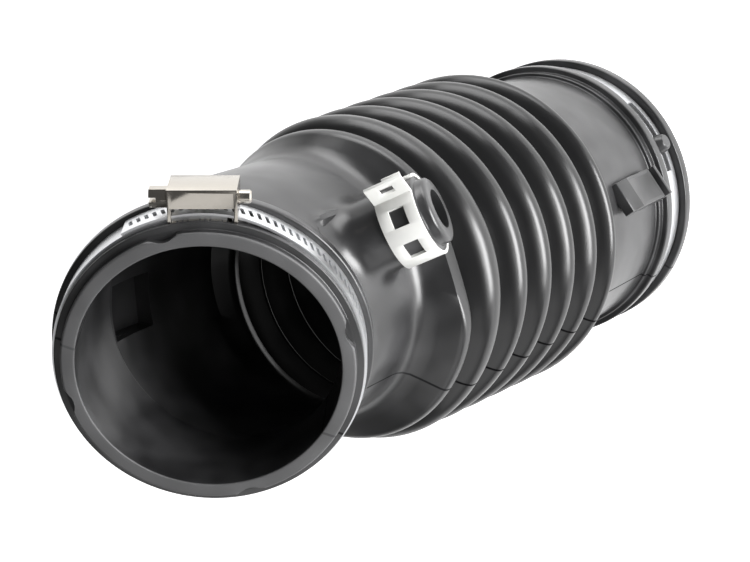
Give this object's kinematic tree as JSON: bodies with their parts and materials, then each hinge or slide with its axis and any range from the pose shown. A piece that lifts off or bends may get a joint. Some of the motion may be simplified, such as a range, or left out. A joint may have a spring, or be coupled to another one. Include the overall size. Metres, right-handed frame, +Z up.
{
  "type": "air intake pipe",
  "caption": "Moulded rubber air intake pipe: a bellows between a long straight cuff and a bent cuff, with worm-screw band clamps and a side spigot with a spring clamp.",
  "frame": {"origin": "centre of the rear cuff's open end, on which the pipe stands", "axes": "+Z up the axis of the rear cuff into the pipe; the front cuff leans towards +X; the side spigot points to +X and a little to +Y"},
  "size_m": [0.1199, 0.1188, 0.2787],
  "materials": {
    "rubber": "satin",
    "clamp_steel": "bright",
    "screw_steel": "bright",
    "coated_steel": "satin coating"
  },
  "bodies": {
    "pipe": {"intake_boot": "rubber", "front_clamp_band": "clamp_steel", "front_clamp_housing": "clamp_steel", "rear_clamp_band": "clamp_steel", "rear_clamp_housing": "clamp_steel", "spigot_spring_clamp": "coated_steel"},
    "front_screw": {"front_clamp_screw": "screw_steel"},
    "rear_screw": {"rear_clamp_screw": "screw_steel"}
  },
  "joints": [
    {"name": "front_screw_turn", "type": "hinge", "parent": "pipe", "child": "front_screw", "pos_m": [0.01531, 0.0504, 0.25256], "axis": [0.832, 0, -0.5548], "continuous": true},
    {"name": "rear_screw_turn", "type": "hinge", "parent": "pipe", "child": "rear_screw", "pos_m": [-0.05171, -0.02411, 0.0105], "axis": [-0.4226, 0.9063, 0], "continuous": true}
  ]
}
